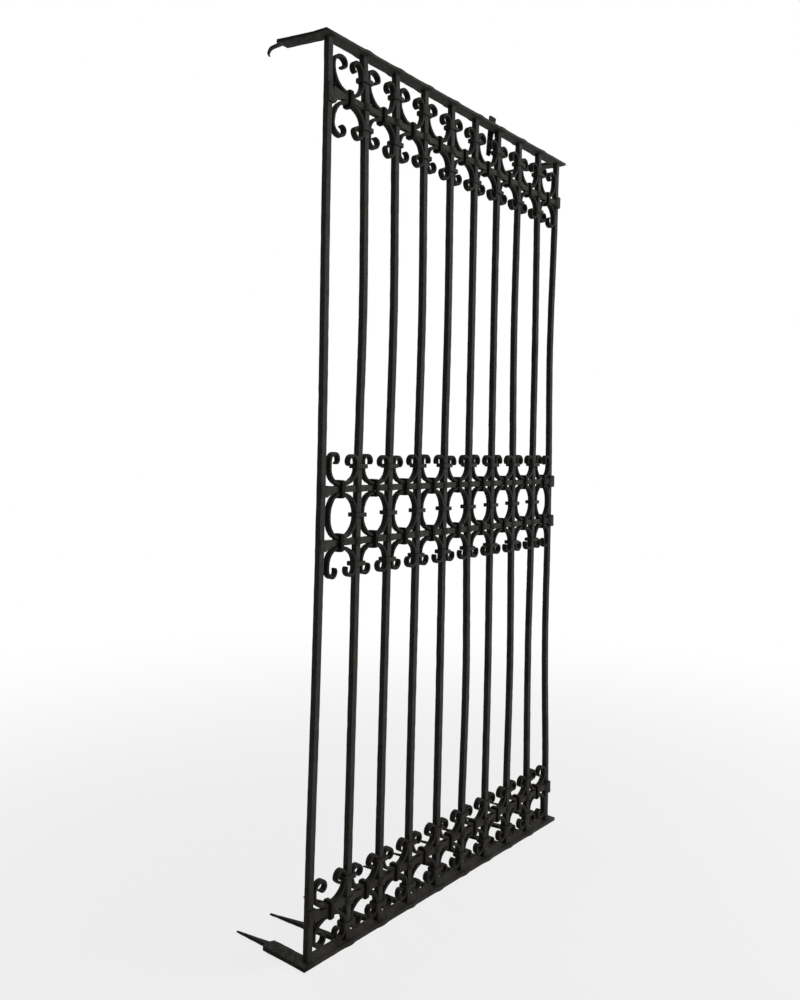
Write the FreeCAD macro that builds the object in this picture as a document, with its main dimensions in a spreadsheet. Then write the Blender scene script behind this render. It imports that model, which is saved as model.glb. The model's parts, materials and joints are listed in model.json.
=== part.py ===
import FreeCAD, Part
import math
import os

from FreeCAD import Rotation, Vector

# Wrought iron window grille: ten square bars through two rails and four cross bars,
# with three bands of scrolls held by collars and clips, and anchors that ran into a wall.
# X runs along the rails, Y points to the wall, Z is up.
# The origin is under the bottom rail, midway between the two middle bars.

BAR_COUNT = 10
INNER_HALF_SPAN = (BAR_COUNT - 3) / 2

SIZES = (
    ("overall_height", 2141, "underside of the bottom rail to the top of the top rail"),
    ("bar_side", 15, "side of the square bars"),
    ("bar_pitch", 115, "spacing of the eight inner bars"),
    ("first_bay", 127.5, "spacing of the first two bars"),
    ("last_bay", 104, "spacing of the last two bars"),
    ("tenon_diameter", 9, "round tenon at each end of a bar"),
    ("fit_gap", 0.3, "clearance between pieces that are fitted together"),
    ("eye_gap", 0.5, "clearance of the bars in the cross bars, which slope a little"),
    ("rail_depth", 34, "front to back width of both rails"),
    ("top_rail_thickness", 8, "thickness of the top rail"),
    ("bottom_rail_thickness", 10, "thickness of the bottom rail"),
    ("left_overhang", 28, "rail end beyond the axis of the first bar"),
    ("right_overhang", 45, "rail end beyond the axis of the last bar"),
    ("swell_radius", 20, "hammered swelling of the rails round each inner bar"),
    ("return_width", 34, "width of the corner anchors"),
    ("return_reach", 117, "shoulder of the anchors behind the bars' axes"),
    ("top_return_lean", 36, "sideways lean of the top anchors at the shoulder"),
    ("bottom_return_lean", 5, "sideways lean of the bottom anchors at the shoulder"),
    ("tail_length", 100, "drawn out tail behind the shoulder"),
    ("tail_root", 16, "width of a tail at the shoulder"),
    ("tail_tip", 4, "width and thickness of a tail at its point"),
    ("tail_sway", 12, "sideways drift of a tail from the shoulder to its point"),
    ("hook_run", 30, "straight start of the hooked tail"),
    ("hook_wide_radius", 22, "first bend of the hooked tail"),
    ("hook_tight_radius", 7, "second bend of the hooked tail"),
    ("hook_end", 4, "straight end of the hooked tail"),
    ("strap_width", 19, "width of the anchors behind the inner bars"),
    ("strap_offset", 26, "axis of these anchors beside their bars"),
    ("strap_lean", 10, "sideways lean of these anchors at the shoulder"),
    ("cross_height", 15.5, "thickness of the cross bars, up and down"),
    ("cross_depth", 15, "front to back width of the cross bars"),
    ("eye_radius", 16, "swelling of the cross bars round each bar"),
    ("top_flare_rise", 14, "top of the top cross bar over its axis at the first bar"),
    ("top_flare_drop", 30, "underside of that cross bar below its axis at the first bar"),
    ("middle_flare_rise", 10, "the same for the middle cross bars"),
    ("middle_flare_drop", 18, "the same for the middle cross bars"),
    ("bottom_flare_rise", 25, "the same for the bottom cross bar"),
    ("bottom_flare_drop", 9, "the same for the bottom cross bar"),
    ("flare_waist", 19, "height halfway along that flare"),
    ("flare_length", 38, "length of that flare, from the first bar"),
    ("flare_lap", 4, "thickness of the flare where it laps over the first bar's front"),
    ("boss_height", 26, "height of the boss at the last bar"),
    ("top_band_drop", 131, "axis of the top cross bar below the grille's top, at the first bar"),
    ("middle_upper_level", 1079, "axis of the upper middle cross bar at the first bar"),
    ("middle_lower_level", 953, "axis of the lower middle cross bar at the first bar"),
    ("bottom_band_level", 100, "axis of the bottom cross bar at the first bar"),
    ("top_fall", 8, "fall of the top cross bar from the first bar to the last"),
    ("middle_rise", 17, "rise of the middle cross bars from the first bar to the last"),
    ("bottom_rise", 16, "rise of the bottom cross bar from the first bar to the last"),
    ("strip_thickness", 7.5, "thickness of the scroll strips"),
    ("strip_width", 16, "front to back width of the scroll strips"),
    ("outer_strip_front", 8, "front edge of the strips before the bars' axes, top and bottom bands"),
    ("middle_strip_front", 11, "front edge of the strips in the middle band"),
    ("foot_length", 10, "part of a scroll that lies under its collar"),
    ("outer_curl_radius", 15.5, "first half turn of a curl in the top and bottom bands"),
    ("middle_curl_radius", 13, "first half turn of a curl in the middle band"),
    ("eyelet_radius", 10, "last part of a curl"),
    ("top_upper_reach", 95, "height of the top band's upper scrolls over the cross bar's axis"),
    ("top_lower_reach", 91, "depth of the top band's lower scrolls under that axis"),
    ("middle_upper_reach", 84, "height of the middle band's upper scrolls"),
    ("middle_lower_reach", 84, "depth of the middle band's lower scrolls"),
    ("bottom_upper_reach", 77, "height of the bottom band's upper scrolls"),
    ("bottom_lower_reach", 79, "depth of the bottom band's lower scrolls"),
    ("collar_width", 11, "width of the collars, along the cross bars"),
    ("collar_thickness", 6, "thickness of the collars"),
    ("clip_height", 8, "height of the clips on the bars"),
    ("clip_thickness", 4.5, "thickness of the clips"),
    ("top_clip_offset", 62, "clips above the top cross bar's axis"),
    ("clip_offset", 54, "other clips above and below their cross bar's axis"),
    ("tie_width", 18, "width of the upright tie behind the top rail"),
    ("tie_thickness", 5, "thickness of the tie"),
    ("tie_offset", 20, "axis of the tie beside the seventh bar"),
    ("tie_rise", 42, "end of the tie above the rail"),
    ("tie_drop", 76, "end of the tie below the rail's top"),
    ("tie_lean", 14, "sideways lean of the tie from end to end"),
)

TIE_BAR_NUMBER = 7
BEND_STRETCH = 1.9
CURL_END_TURN = 118
HOOK_WIDE_TURN = 60
HOOK_TIGHT_TURN = 60
HOOK_STATIONS = 5

doc = FreeCAD.newDocument("WindowGrille")
sheet = doc.addObject("Spreadsheet::Sheet", "Sizes")
for row, (alias, number, note) in enumerate(SIZES, start=1):
    sheet.set(f"A{row}", note)
    sheet.set(f"B{row}", str(number))
    sheet.setAlias(f"B{row}", alias)
doc.recompute()

nodes = []


def value(expression):
    """Number that a sheet expression gives."""
    result = sheet.evalExpression(expression)
    return float(getattr(result, "Value", result))


def node(obj, label):
    obj.Label = label
    nodes.append(obj)
    return obj


def bind(obj, **expressions):
    """Binds properties of an object to sheet expressions; x, y and z set its place."""
    for name, expression in expressions.items():
        path = f".Placement.Base.{name}" if name in ("x", "y", "z") else name
        obj.setExpression(path, expression)
    return obj


def primitive(kind, name, **expressions):
    return bind(doc.addObject(f"Part::{kind}", name), **expressions)


def fuse(name, pieces):
    joined = doc.addObject("Part::MultiFuse", name)
    joined.Shapes = pieces
    return joined


def cut(name, base, tools):
    result = doc.addObject("Part::Cut", name)
    result.Base = base
    result.Tool = tools[0] if len(tools) == 1 else fuse(f"{name}_tools", tools)
    return result


def bar_x(number):
    """Expression for the axis of a bar, counted from the first at the left."""
    if number == 1:
        return f"(-{INNER_HALF_SPAN} * Sizes.bar_pitch - Sizes.first_bay)"
    if number == BAR_COUNT:
        return f"({INNER_HALF_SPAN} * Sizes.bar_pitch + Sizes.last_bay)"
    return f"({number - 2 - INNER_HALF_SPAN} * Sizes.bar_pitch)"


LEFT_END = f"({bar_x(1)} - Sizes.left_overhang)"
RIGHT_END = f"({bar_x(BAR_COUNT)} + Sizes.right_overhang)"
RAIL_BACK = "(Sizes.rail_depth / 2)"
TOP_RAIL_UNDER = "(Sizes.overall_height - Sizes.top_rail_thickness)"
TOP_LEVEL = "(Sizes.overall_height - Sizes.top_band_drop)"
SPAN = f"({bar_x(BAR_COUNT)} - {bar_x(1)})"
BANDS = {
    "top": (TOP_LEVEL, "-Sizes.top_fall", "outer"),
    "middle_upper": ("Sizes.middle_upper_level", "Sizes.middle_rise", "middle"),
    "middle_lower": ("Sizes.middle_lower_level", "Sizes.middle_rise", "middle"),
    "bottom": ("Sizes.bottom_band_level", "Sizes.bottom_rise", "outer"),
}
BARS = range(1, BAR_COUNT + 1)
INNER_BARS = range(2, BAR_COUNT)
BAYS = range(1, BAR_COUNT)
FIRST_INNER_BAY = BAYS[1]


def level_at(band, x):
    """Expression for the axis of a band's cross bar at a place along the rails."""
    level, rise, _ = BANDS[band]
    return f"({level} + {rise} * ({x} - {bar_x(1)}) / {SPAN})"


# Bars

def bar(number):
    """Square bar between the rails, with a round tenon through each of them."""
    name = f"bar_{number:02d}"
    x = bar_x(number)
    shank = primitive(
        "Box", f"{name}_shank",
        Length="Sizes.bar_side", Width="Sizes.bar_side",
        Height=f"{TOP_RAIL_UNDER} - Sizes.bottom_rail_thickness",
        x=f"{x} - Sizes.bar_side / 2", y="-Sizes.bar_side / 2", z="Sizes.bottom_rail_thickness")
    tenons = primitive(
        "Cylinder", f"{name}_tenons", Radius="Sizes.tenon_diameter / 2",
        Height="Sizes.overall_height", x=x)
    node(fuse(name, [shank, tenons]), name)


# Rails with their corner anchors

def taper(name, x, z, thickness, start, length, lean_start, lean_end, width_start, width_end,
          thickness_end):
    """Block along +Y about an axis at x, whose width, thickness and side drift change evenly."""
    near = f"-({lean_start})"
    far = f"-({lean_end})"
    return primitive(
        "Wedge", name,
        Ymin=start, Ymax=f"{start} + {length}",
        Xmin=f"{near} - {width_start} / 2", Xmax=f"{near} + {width_start} / 2",
        X2min=f"{far} - {width_end} / 2", X2max=f"{far} + {width_end} / 2",
        Zmin="0", Zmax=thickness,
        Z2min=f"({thickness} - {thickness_end}) / 2", Z2max=f"({thickness} + {thickness_end}) / 2",
        x=x, z=z)


def corner_arm(name, x, z, thickness, lean):
    """Anchor from the rail's front edge back to its shoulder."""
    return taper(
        f"{name}_arm", x, z, thickness, f"-{RAIL_BACK}", f"({RAIL_BACK} + Sizes.return_reach)",
        "0", lean, "Sizes.return_width", "Sizes.return_width", thickness)


def tail(name, x, z, thickness, lean):
    """Drawn out tail of an anchor, from its shoulder to a blunt point."""
    return taper(
        f"{name}_tail", x, z, thickness, "Sizes.return_reach", "Sizes.tail_length",
        lean, f"{lean} + Sizes.tail_sway", "Sizes.tail_root", "Sizes.tail_tip", "Sizes.tail_tip")


def hooked_tail(name, x, z, thickness, lean):
    """Tail that bends down and hooks forward, lofted through sections along its two bends."""
    wide = value("Sizes.hook_wide_radius")
    tight = value("Sizes.hook_tight_radius")
    steps = [("line", value("Sizes.hook_run"))]
    steps += [("arc", wide, HOOK_WIDE_TURN / HOOK_STATIONS)] * HOOK_STATIONS
    steps += [("arc", tight, HOOK_TIGHT_TURN / HOOK_STATIONS)] * HOOK_STATIONS
    steps += [("line", value("Sizes.hook_end"))]
    stations = [(value("Sizes.return_reach"), value(f"{z} + {thickness} / 2"), 0.0)]
    for step in steps:
        y, height, turn = stations[-1]
        if step[0] == "line":
            y += step[1] * math.cos(turn)
            height -= step[1] * math.sin(turn)
        else:
            end = turn + math.radians(step[2])
            y += step[1] * (math.sin(end) - math.sin(turn))
            height -= step[1] * (math.cos(turn) - math.cos(end))
            turn = end
        stations.append((y, height, turn))
    root = (value("Sizes.tail_root"), value(thickness))
    tip = value("Sizes.tail_tip")
    centre = value(x) - value(lean)
    sections = []
    for index, (y, height, turn) in enumerate(stations):
        share = index / (len(stations) - 1)
        half_width = (root[0] + (tip - root[0]) * share) / 2
        half_depth = (root[1] + (tip - root[1]) * share) / 2
        across = Vector(0, math.sin(turn), math.cos(turn)) * half_depth
        middle = Vector(centre, y, height)
        side = Vector(half_width, 0, 0)
        corners = [middle - side - across, middle + side - across,
                   middle + side + across, middle - side + across]
        sections.append(Part.makePolygon(corners + corners[:1]))
    hook = doc.addObject("Part::Feature", f"{name}_hook")
    hook.Shape = Part.makeLoft(sections, True, True)
    return hook


def rail(name, z, thickness, lean, left_tail):
    """Flat rail with swellings, tenon holes and an anchor going back from each corner."""
    left_x = f"({LEFT_END} + Sizes.return_width / 2)"
    right_x = f"({RIGHT_END} - Sizes.return_width / 2)"
    pieces = [primitive(
        "Box", f"{name}_flat", Length=f"{RIGHT_END} - {LEFT_END}", Width="Sizes.rail_depth",
        Height=thickness, x=LEFT_END, y=f"-{RAIL_BACK}", z=z)]
    for number in INNER_BARS:
        pieces.append(primitive(
            "Cylinder", f"{name}_swell_{number}", Radius="Sizes.swell_radius", Height=thickness,
            x=bar_x(number), z=z))
    pieces.append(corner_arm(f"{name}_left", left_x, z, thickness, lean))
    pieces.append(left_tail(f"{name}_left", left_x, z, thickness, lean))
    pieces.append(corner_arm(f"{name}_right", right_x, z, thickness, lean))
    pieces.append(tail(f"{name}_right", right_x, z, thickness, lean))
    holes = [primitive(
        "Cylinder", f"{name}_hole_{number}", Radius="Sizes.tenon_diameter / 2", Height=thickness,
        x=bar_x(number), z=z) for number in BARS]
    node(cut(name, fuse(f"{name}_blank", pieces), holes), name)


# Anchors behind the inner bars

def strap(number):
    """Flat anchor butted to the back of the bottom rail beside an inner bar."""
    name = f"bottom_anchor_{number:02d}"
    x = f"({bar_x(number)} - Sizes.strap_offset)"
    thickness = "Sizes.bottom_rail_thickness"
    arm = taper(
        f"{name}_arm", x, "0", thickness, RAIL_BACK, f"(Sizes.return_reach - {RAIL_BACK})",
        "0", "Sizes.strap_lean", "Sizes.strap_width", "Sizes.strap_width", thickness)
    node(fuse(name, [arm, tail(name, x, "0", thickness, "Sizes.strap_lean")]), name)


# Cross bars

def flare(name, x, length, fronts, rises, drops):
    """Block along X whose front, top and underside change evenly from its start to its end."""
    block = primitive(
        "Wedge", name, Ymin="0", Ymax=length,
        Xmin="-Sizes.cross_depth / 2", Xmax=fronts[0], X2min="-Sizes.cross_depth / 2", X2max=fronts[1],
        Zmin=f"-{drops[0]}", Zmax=rises[0], Z2min=f"-{drops[1]}", Z2max=rises[1], x=x)
    block.Placement.Rotation = Rotation(Vector(0, 0, 1), -90)
    return block


def cross_bar(band):
    """Flat cross bar, lapped over the first bar and swollen round the bars that pass through it."""
    name = f"{band}_cross_bar"
    first, last = bar_x(1), bar_x(BAR_COUNT)
    hole_side = "(Sizes.bar_side + 2 * Sizes.eye_gap)"
    lap_front = f"({hole_side} / 2 + Sizes.flare_lap)"
    start = f"({first} + {hole_side} / 2)"
    place = band.split("_")[0]
    rise = f"Sizes.{place}_flare_rise"
    drop = f"Sizes.{place}_flare_drop"
    waist = "(Sizes.flare_waist / 2)"
    half_length = "(Sizes.flare_length / 2)"
    half_height = "(Sizes.cross_height / 2)"
    half_depth = "(Sizes.cross_depth / 2)"
    under = f"-{half_height}"
    pieces = [primitive(
        "Box", f"{name}_flat", Length=f"{last} - {start}", Width="Sizes.cross_depth",
        Height="Sizes.cross_height", x=start, y=f"-{half_depth}", z=under)]
    for number in INNER_BARS:
        pieces.append(primitive(
            "Cylinder", f"{name}_eye_{number}", Radius="Sizes.eye_radius",
            Height="Sizes.cross_height", x=bar_x(number), z=under))
    pieces.append(primitive(
        "Cylinder", f"{name}_boss", Radius="Sizes.eye_radius", Height="Sizes.boss_height",
        x=last, z="-Sizes.boss_height / 2"))
    pieces.append(primitive(
        "Box", f"{name}_lap", Length=f"(Sizes.bar_side + {hole_side}) / 2", Width="Sizes.flare_lap",
        Height=f"{rise} + {drop}", x=f"{first} - Sizes.bar_side / 2", y=f"-{lap_front}", z=f"-{drop}"))
    pieces.append(flare(
        f"{name}_flare", start, half_length, (lap_front, half_depth), (rise, waist), (drop, waist)))
    pieces.append(flare(
        f"{name}_waist", f"({start} + {half_length})", half_length,
        (half_depth, half_depth), (waist, half_height), (waist, half_height)))
    hole_height = "max(Sizes.boss_height; Sizes.cross_height)"
    holes = [primitive(
        "Box", f"{name}_hole_{number}", Length=hole_side, Width=hole_side, Height=hole_height,
        x=f"{bar_x(number)} - {hole_side} / 2", y=f"-{hole_side} / 2", z=f"-{hole_height} / 2")
        for number in BARS[1:]]
    placed = node(cut(name, fuse(f"{name}_blank", pieces), holes), name)
    slope = math.degrees(math.atan(value(f"{BANDS[band][1]} / {SPAN}")))
    placed.Placement.Rotation = Rotation(Vector(0, -1, 0), slope)
    bind(placed, z=level_at(band, "0"))


# Bent strips, drawn as a chain of lines and tangent arcs

def chain_side(start, steps, shift):
    """Edges of a chain of lines and arcs that sets out along X, moved to its left by shift."""
    edges = []
    heading = 0.0
    point = Vector(*start, 0)
    for kind, amount, turn in steps:
        left = Vector(-math.sin(heading), math.cos(heading), 0)
        if kind == "line":
            step = Vector(math.cos(heading), math.sin(heading), 0) * amount
            edges.append(Part.LineSegment(point + left * shift, point + step + left * shift))
            point = point + step
            continue
        sense = math.copysign(1, turn)
        centre = point + left * (sense * amount)
        radius = amount - sense * shift
        spoke = -left * sense

        def on_arc(share):
            return centre + Rotation(Vector(0, 0, 1), turn * share).multVec(spoke) * radius

        edges.append(Part.Arc(on_arc(0), on_arc(0.5), on_arc(1)))
        point = centre + Rotation(Vector(0, 0, 1), turn).multVec(spoke) * amount
        heading += math.radians(turn)
    return edges


def strip_body(name, steps, front):
    """Body of a bent strip: its edge outline upright, padded both ways to its width."""
    body = doc.addObject("PartDesign::Body", name)
    sketch = body.newObject("Sketcher::SketchObject", f"{name}_outline")
    origin_plane = next(item for item in body.Origin.OriginFeatures if item.Role == "XZ_Plane")
    sketch.AttachmentSupport = [(origin_plane, "")]
    sketch.MapMode = "FlatFace"
    steps = [step for step in steps if step[0] == "arc" or step[1] > 0]
    half_thickness = value("Sizes.strip_thickness / 2")
    left_side = chain_side(foot_start(), steps, half_thickness)
    right_side = chain_side(foot_start(), steps, -half_thickness)
    caps = [Part.LineSegment(left_side[0].StartPoint, right_side[0].StartPoint),
            Part.LineSegment(left_side[-1].EndPoint, right_side[-1].EndPoint)]
    sketch.addGeometry(left_side + right_side + caps, False)
    pad = body.newObject("PartDesign::Pad", f"{name}_pad")
    pad.Profile = sketch
    pad.Midplane = True
    bind(pad, Length="Sizes.strip_width")
    body.Tip = pad
    bind(body, y=f"Sizes.strip_width / 2 - {front}")
    doc.recompute()
    return body


def half_bay(number):
    """Half of the clear width of the bay to the right of a bar."""
    return value(f"({bar_x(number + 1)} - {bar_x(number)} - Sizes.bar_side) / 2")


def bay_centre(number):
    """Expression for the middle of the bay to the right of a bar."""
    return f"(({bar_x(number)} + {bar_x(number + 1)}) / 2)"


def foot_start():
    """Start of a right hand scroll: its foot on the cross bar, beside the middle of the bay."""
    return (value("Sizes.fit_gap / 2"),
            value("Sizes.cross_height / 2 + Sizes.fit_gap + Sizes.strip_thickness / 2"))


def sweep_steps(number, climb):
    """Foot along the cross bar, then a bend of two eighth turns that reaches the bar at climb."""
    across = half_bay(number) - value("Sizes.fit_gap + Sizes.strip_thickness / 2") - foot_start()[0]
    run = min(across - value("Sizes.foot_length"), BEND_STRETCH * climb)
    bend = min(climb, BEND_STRETCH * run)
    sine = math.sqrt(0.5)
    spread = 2 * sine - 1
    first = (run * sine - bend * (1 - sine)) / spread
    second = (bend * sine - run * (1 - sine)) / spread
    return [("line", across - run, 0), ("arc", first, 45), ("arc", second, 45),
            ("line", climb - bend, 0)]


def curled_scroll(number, row, kind, clip_place):
    """Right hand scroll of a bay: out from the collar, up along the bar and curled back in."""
    curl = value(f"Sizes.{kind}_curl_radius")
    rise = value(f"Sizes.{row}_reach - Sizes.strip_thickness / 2") - curl - foot_start()[1]
    climb = min(rise, value(f"{clip_place} - Sizes.clip_height / 2") - foot_start()[1])
    steps = sweep_steps(number, climb)
    steps += [("line", rise - climb, 0), ("arc", curl, 180),
              ("arc", value("Sizes.eyelet_radius"), CURL_END_TURN)]
    return strip_body(f"{row}_scroll_{number}", steps, f"Sizes.{kind}_strip_front")


def oval_arc(number):
    """Right hand half of the oval between the two middle cross bars, foot to foot."""
    half_height = value("(Sizes.middle_upper_level - Sizes.middle_lower_level) / 2")
    half_clip = value("Sizes.clip_height / 2")
    steps = sweep_steps(number, half_height - foot_start()[1] - half_clip)
    steps.append(("line", half_clip, 0))
    steps += reversed(steps)
    return strip_body(f"oval_{number}", steps, "Sizes.middle_strip_front")


def group(label, shapes):
    """Node of like pieces, each its own solid."""
    gathered = doc.addObject("Part::Feature", label)
    gathered.Shape = Part.makeCompound(shapes)
    node(gathered, label)


def scroll_row(name, band, bodies, upward):
    """Left and right scrolls of every bay in one row, above or below a cross bar."""
    narrow_start = BANDS[band][2] == "middle"
    for hand in ("left", "right"):
        placed = []
        for number in BAYS:
            close = narrow_start and hand == "left" and number == 1
            shape = bodies[FIRST_INNER_BAY if close else number].Shape
            if hand == "left":
                shape = shape.mirror(Vector(), Vector(1, 0, 0))
            if not upward:
                shape = shape.mirror(Vector(), Vector(0, 0, 1))
            place = Vector(value(bay_centre(number)), 0, value(level_at(band, bay_centre(number))))
            placed.append(shape.translated(place))
        group(f"{name}_{hand}", placed)


# Collars and clips

def ring(name, kind, inner, wall, open_axis):
    """Square band round the strips, open along one axis; inner gives its length and height."""
    half = "max(Sizes.bar_side / 2; Sizes.cross_depth / 2"
    front = f"{half}; Sizes.{kind}_strip_front)"
    back = f"{half}; Sizes.strip_width - Sizes.{kind}_strip_front)"
    snug = {"Length": inner[0], "Width": f"{front} + {back}", "Height": inner[1]}
    hole = {axis: f"({size} + 2 * Sizes.fit_gap)" for axis, size in snug.items()}
    outer = {axis: f"({size} + 2 * {wall})" for axis, size in hole.items()}
    outer[open_axis] = snug[open_axis]

    def centred(label, sizes):
        return primitive(
            "Box", label, **sizes, x=f"-({sizes['Length']}) / 2",
            y=f"({back} - {front} - ({sizes['Width']})) / 2", z=f"-({sizes['Height']}) / 2")

    return cut(name, centred(f"{name}_outer", outer), [centred(f"{name}_inner", hole)])


def collar(kind):
    across = "Sizes.cross_height + 2 * (Sizes.strip_thickness + Sizes.fit_gap)"
    return ring(
        f"{kind}_collar", kind, ("Sizes.collar_width", across), "Sizes.collar_thickness", "Length")


def clip(kind):
    across = "Sizes.bar_side + 2 * (Sizes.strip_thickness + Sizes.fit_gap)"
    return ring(f"{kind}_clip", kind, (across, "Sizes.clip_height"), "Sizes.clip_thickness", "Height")


def band_row(name, band, ring_shape, places, offset):
    """Like collars or clips at places along a band, at an offset from its cross bar's axis."""
    copies = []
    for x in places:
        copies.append(ring_shape.translated(
            Vector(value(x), 0, value(f"{level_at(band, x)} + {offset}"))))
    group(name, copies)


# Upright tie behind the top rail

def upright_tie():
    """Short flat strip against the swelling of the top rail beside the seventh bar."""
    tie = primitive(
        "Box", "tie_strip", Length="Sizes.tie_width", Width="Sizes.tie_thickness",
        Height="Sizes.tie_drop + Sizes.tie_rise",
        x=f"{bar_x(TIE_BAR_NUMBER)} - Sizes.tie_offset - Sizes.tie_width / 2",
        y="Sizes.swell_radius + Sizes.fit_gap", z="Sizes.overall_height - Sizes.tie_drop")
    lean = math.degrees(math.atan(value("Sizes.tie_lean / (Sizes.tie_drop + Sizes.tie_rise)")))
    tie.Placement.Rotation = Rotation(Vector(0, 1, 0), lean)
    node(tie, "upright_tie")


for bar_number in BARS:
    bar(bar_number)
rail("bottom_rail", "0", "Sizes.bottom_rail_thickness", "Sizes.bottom_return_lean", tail)
rail("top_rail", TOP_RAIL_UNDER, "Sizes.top_rail_thickness", "Sizes.top_return_lean", hooked_tail)
for bar_number in INNER_BARS:
    strap(bar_number)

for band_name in BANDS:
    cross_bar(band_name)
upright_tie()
collar_rings = {kind: collar(kind) for kind in ("outer", "middle")}
clip_rings = {kind: clip(kind) for kind in ("outer", "middle")}
doc.recompute()

ROWS = (
    ("top_upper", "top", "Sizes.top_clip_offset", True),
    ("top_lower", "top", "Sizes.clip_offset", False),
    ("middle_upper", "middle_upper", "Sizes.clip_offset", True),
    ("middle_lower", "middle_lower", "Sizes.clip_offset", False),
    ("bottom_upper", "bottom", "Sizes.clip_offset", True),
    ("bottom_lower", "bottom", "Sizes.clip_offset", False),
)
INNER_BAR_PLACES = [bar_x(number) for number in INNER_BARS]
BAY_PLACES = [bay_centre(number) for number in BAYS]


def bay_bodies(draw):
    """Strip bodies by bay; the inner bays are alike and share one that is drawn once."""
    inner = draw(FIRST_INNER_BAY)
    bodies = {number: inner for number in BAYS}
    bodies[BAYS[0]] = draw(BAYS[0])
    bodies[BAYS[-1]] = draw(BAYS[-1])
    return bodies


for row_name, row_band, clip_place, row_upward in ROWS:
    band_kind = BANDS[row_band][2]
    scrolls = bay_bodies(lambda number: curled_scroll(number, row_name, band_kind, clip_place))
    scroll_row(f"{row_name}_scrolls", row_band, scrolls, row_upward)
    clip_side = clip_place if row_upward else f"-{clip_place}"
    band_row(
        f"{row_name}_clips", row_band, clip_rings[band_kind].Shape, INNER_BAR_PLACES, clip_side)
scroll_row("oval_arcs", "middle_lower", bay_bodies(oval_arc), True)
band_row(
    "oval_clips", "middle_lower", clip_rings["middle"].Shape, INNER_BAR_PLACES,
    "(Sizes.middle_upper_level - Sizes.middle_lower_level) / 2")
for band_name, (_, _, band_kind) in BANDS.items():
    band_row(f"{band_name}_collars", band_name, collar_rings[band_kind].Shape, BAY_PLACES, "0")
doc.recompute()

# Nothing is written unless every object is sound

for obj in doc.Objects:
    if "Invalid" in obj.State or "Error" in obj.State:
        raise RuntimeError(f"{obj.Name} did not recompute")
for obj in nodes:
    if obj.Shape.isNull() or not obj.Shape.isValid():
        raise RuntimeError(f"{obj.Label} has no valid shape")

os.makedirs("parts", exist_ok=True)
for obj in nodes:
    obj.Shape.exportStep(f"parts/{obj.Label}.step")
print(len(nodes), "nodes,", sum(len(obj.Shape.Solids) for obj in nodes), "solids")
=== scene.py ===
import bisect
import json
import math
import random
from collections import namedtuple
from functools import cached_property

import bpy
from mathutils import Matrix, Vector, noise


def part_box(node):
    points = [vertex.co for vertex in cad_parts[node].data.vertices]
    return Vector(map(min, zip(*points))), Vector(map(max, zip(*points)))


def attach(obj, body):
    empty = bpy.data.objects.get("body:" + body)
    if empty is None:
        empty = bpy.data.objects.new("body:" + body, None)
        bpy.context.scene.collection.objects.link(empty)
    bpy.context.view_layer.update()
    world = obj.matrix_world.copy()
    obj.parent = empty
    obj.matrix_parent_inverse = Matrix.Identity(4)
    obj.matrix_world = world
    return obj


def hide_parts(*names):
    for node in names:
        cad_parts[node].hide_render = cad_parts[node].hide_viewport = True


# Looks of a wrought iron window grille: every solid of the frame is forged again as a hammered bar,
# swept through stations along its own path, with worn edges and weathered iron on it.

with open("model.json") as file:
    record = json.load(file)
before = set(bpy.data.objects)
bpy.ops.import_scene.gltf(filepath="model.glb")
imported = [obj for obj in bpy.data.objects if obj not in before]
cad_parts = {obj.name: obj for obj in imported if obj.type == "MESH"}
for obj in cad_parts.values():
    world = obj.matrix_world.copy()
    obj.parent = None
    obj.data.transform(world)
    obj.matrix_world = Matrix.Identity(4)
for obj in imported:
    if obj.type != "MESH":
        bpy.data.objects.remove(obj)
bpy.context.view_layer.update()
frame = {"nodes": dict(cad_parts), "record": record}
SEED = 1907
rng = random.Random(SEED)

MM = 0.001
X_AXIS = Vector((1, 0, 0))
Y_AXIS = Vector((0, 1, 0))
Z_AXIS = Vector((0, 0, 1))
EIGHTH_TURN = 45
QUARTER_TURN = 90

# Names in the frame
BAR_NODES = [f"bar_{number:02d}" for number in range(1, 11)]
ANCHOR_NODES = [f"bottom_anchor_{number:02d}" for number in range(2, 10)]
INNER_BARS = range(1, 9)
BANDS = ("top", "middle_upper", "middle_lower", "bottom")
HANDS = ("left", "right")
SLOT_OF = {entry["node"]: entry["material_slot"] for entry in frame["record"]["subparts"]}
SOLID_GAP = 0.1 * MM

# Sizes of the bars; the bow to the front or back is for each metre of a span
BAR_FULLNESS = 0.5 * MM
DEPTH_BOW = 1.5 * MM
PEEN_RADIUS = 7 * MM
PEEN_HEIGHT = 1.6 * MM
# Random spread of each bar's lightness around its painted light falloff
TONE_SPREAD = 0.2
# Bend of each bar to the right in the middle of its upper and lower clear spans, in millimetres
UPPER_BOWS = (0, 8, 6, 4.5, 2, 1, 0, -6, 2, -9)
LOWER_BOWS = (1, 2, -1, 0, 0, 8, 1.5, 9, -6, -9)
# Drift of some bars to the right at their seats, from the bottom rail up to the top one, in millimetres
SEAT_DRIFTS = {
    0: (-2, -2, 4.5, 4.5, -5, -7),
    1: (-4, -3, 0, 0, -4, -14),
    2: (-4, -3, 0, 0, -4, -8),
    3: (-4, -3, 0, 0, -2, -4),
    9: (11, 11, -3, -3, 6, 9),
}
NO_DRIFT = (0, 0, 0, 0, 0, 0)

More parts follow.
